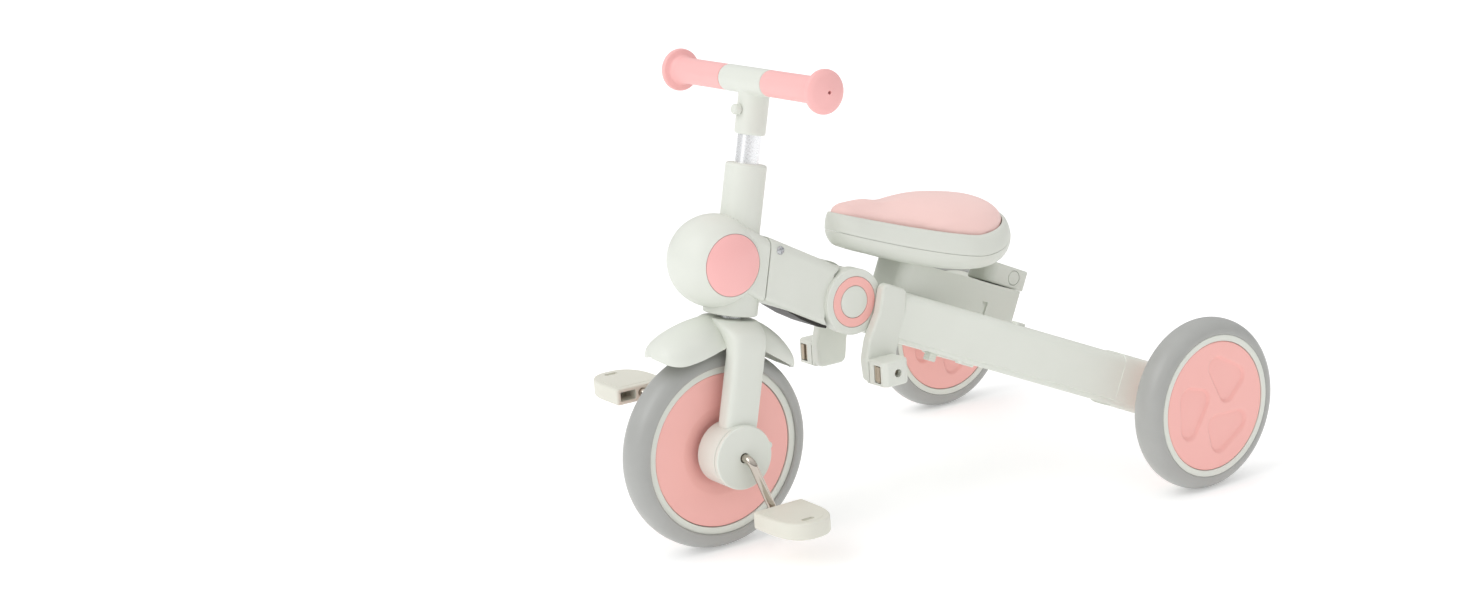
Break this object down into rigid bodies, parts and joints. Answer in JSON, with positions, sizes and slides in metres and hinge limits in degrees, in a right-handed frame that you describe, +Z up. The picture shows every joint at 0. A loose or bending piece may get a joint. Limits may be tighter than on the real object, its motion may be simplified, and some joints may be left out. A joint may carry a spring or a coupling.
{
  "type": "children's tricycle",
  "caption": "Folding children's tricycle with pedals on the front wheel, T handlebar, padded saddle and splayed rear legs.",
  "frame": {"origin": "on the ground, under the middle of the bounding box", "axes": "+Y towards the rear wheels, +X the rider's left, +Z up"},
  "size_m": [0.508, 0.6956, 0.5117],
  "materials": {
    "cream_plastic": "satin off-white moulded plastic",
    "pink_plastic": "satin pink moulded plastic",
    "pink_grip": "soft matte pink",
    "pink_cushion": "padded pink imitation leather",
    "grey_tyre": "matte grey foam rubber",
    "nylon": "plain off-white nylon",
    "crank_chrome": "bright plated rod",
    "satin_tube": "satin tube",
    "bright_steel": "bright steel",
    "black_plastic": "matte black",
    "black_metal": "black coated metal",
    "clip_steel": "spring steel with a brown tint"
  },
  "bodies": {
    "frame": {"head_tube": "cream_plastic", "head_ball": "cream_plastic", "ball_cap_left": "pink_plastic", "ball_cap_right": "pink_plastic", "head_collar": "cream_plastic", "headset_bushes": "nylon", "head_bracket": "cream_plastic", "beam_shell": "cream_plastic", "beam_liner": "black_plastic", "frame_screws": "bright_steel", "fold_knuckle": "black_metal"},
    "steering": {"fork": "cream_plastic", "mudguard": "cream_plastic", "steerer_tube": "satin_tube", "hub_drum_left": "cream_plastic", "hub_drum_right": "cream_plastic", "hub_cap_left": "cream_plastic", "hub_cap_right": "cream_plastic", "front_bearings": "bright_steel"},
    "handlebar": {"handlebar_stem": "cream_plastic", "handlebar_tube": "satin_tube", "grip_left": "pink_grip", "grip_right": "pink_grip"},
    "bar_button": {"stem_button": "cream_plastic"},
    "front_wheel": {"front_tyre": "grey_tyre", "front_rim": "cream_plastic", "front_disc_left": "pink_plastic", "front_disc_right": "pink_plastic", "axle_sleeve": "bright_steel", "crank_left": "crank_chrome", "crank_right": "crank_chrome"},
    "left_pedal": {"pedal_left": "nylon"},
    "right_pedal": {"pedal_right": "nylon"},
    "rear_frame": {"rear_core": "cream_plastic", "fold_rings": "pink_plastic", "fold_pin": "bright_steel", "rear_leg_left": "cream_plastic", "rear_leg_right": "cream_plastic", "leg_end_left": "cream_plastic", "leg_end_right": "cream_plastic", "rear_axles": "bright_steel", "seat_carrier": "cream_plastic", "pedal_holder_left": "cream_plastic", "pedal_holder_right": "cream_plastic", "holder_clips": "clip_steel", "seat_shell_lower": "cream_plastic", "seat_shell_upper": "cream_plastic", "seat_cushion": "pink_cushion", "push_socket": "cream_plastic"},
    "left_fold_button": {"fold_button_left": "cream_plastic"},
    "right_fold_button": {"fold_button_right": "cream_plastic"},
    "push_button": {"socket_button": "cream_plastic"},
    "left_rear_wheel": {"rear_tyre_left": "grey_tyre", "rear_rim_left": "cream_plastic", "rear_disc_left": "pink_plastic"},
    "right_rear_wheel": {"rear_tyre_right": "grey_tyre", "rear_rim_right": "cream_plastic", "rear_disc_right": "pink_plastic"}
  },
  "joints": [
    {"name": "steering_turn", "type": "hinge", "parent": "frame", "child": "steering", "pos_m": [0, -0.23975, 0.108], "axis": [0, 0.2079, 0.9781], "range_deg": [-45, 45]},
    {"name": "handlebar_height", "type": "slide", "parent": "steering", "child": "handlebar", "axis": [0, 0.2079, 0.9781], "range_m": [0, 0.02]},
    {"name": "bar_button_pull", "type": "slide", "parent": "handlebar", "child": "bar_button", "axis": [0, -0.9781, 0.2079], "range_m": [0, 0.0035], "stiffness_N_per_m": 600},
    {"name": "front_wheel_spin", "type": "hinge", "parent": "steering", "child": "front_wheel", "pos_m": [0, -0.23975, 0.108], "axis": [1, 0, 0], "continuous": true},
    {"name": "left_pedal_spin", "type": "hinge", "parent": "front_wheel", "child": "left_pedal", "pos_m": [0.112, -0.21699, 0.04712], "axis": [1, 0, 0], "continuous": true},
    {"name": "right_pedal_spin", "type": "hinge", "parent": "front_wheel", "child": "right_pedal", "pos_m": [-0.112, -0.2775, 0.16092], "axis": [1, 0, 0], "continuous": true},
    {"name": "frame_fold", "type": "hinge", "parent": "frame", "child": "rear_frame", "pos_m": [0, -0.07575, 0.241], "axis": [1, 0, 0], "range_deg": [-60, 0]},
    {"name": "left_fold_button_press", "type": "slide", "parent": "rear_frame", "child": "left_fold_button", "axis": [-1, 0, 0], "range_m": [0, 0.003], "stiffness_N_per_m": 800},
    {"name": "right_fold_button_press", "type": "slide", "parent": "rear_frame", "child": "right_fold_button", "axis": [1, 0, 0], "range_m": [0, 0.003], "stiffness_N_per_m": 800},
    {"name": "push_button_press", "type": "slide", "parent": "rear_frame", "child": "push_button", "axis": [-1, 0, 0], "range_m": [0, 0.003], "stiffness_N_per_m": 600},
    {"name": "left_rear_wheel_spin", "type": "hinge", "parent": "rear_frame", "child": "left_rear_wheel", "pos_m": [0.235, 0.25125, 0.0965], "axis": [1, 0, 0], "continuous": true},
    {"name": "right_rear_wheel_spin", "type": "hinge", "parent": "rear_frame", "child": "right_rear_wheel", "pos_m": [-0.235, 0.25125, 0.0965], "axis": [1, 0, 0], "continuous": true}
  ]
}
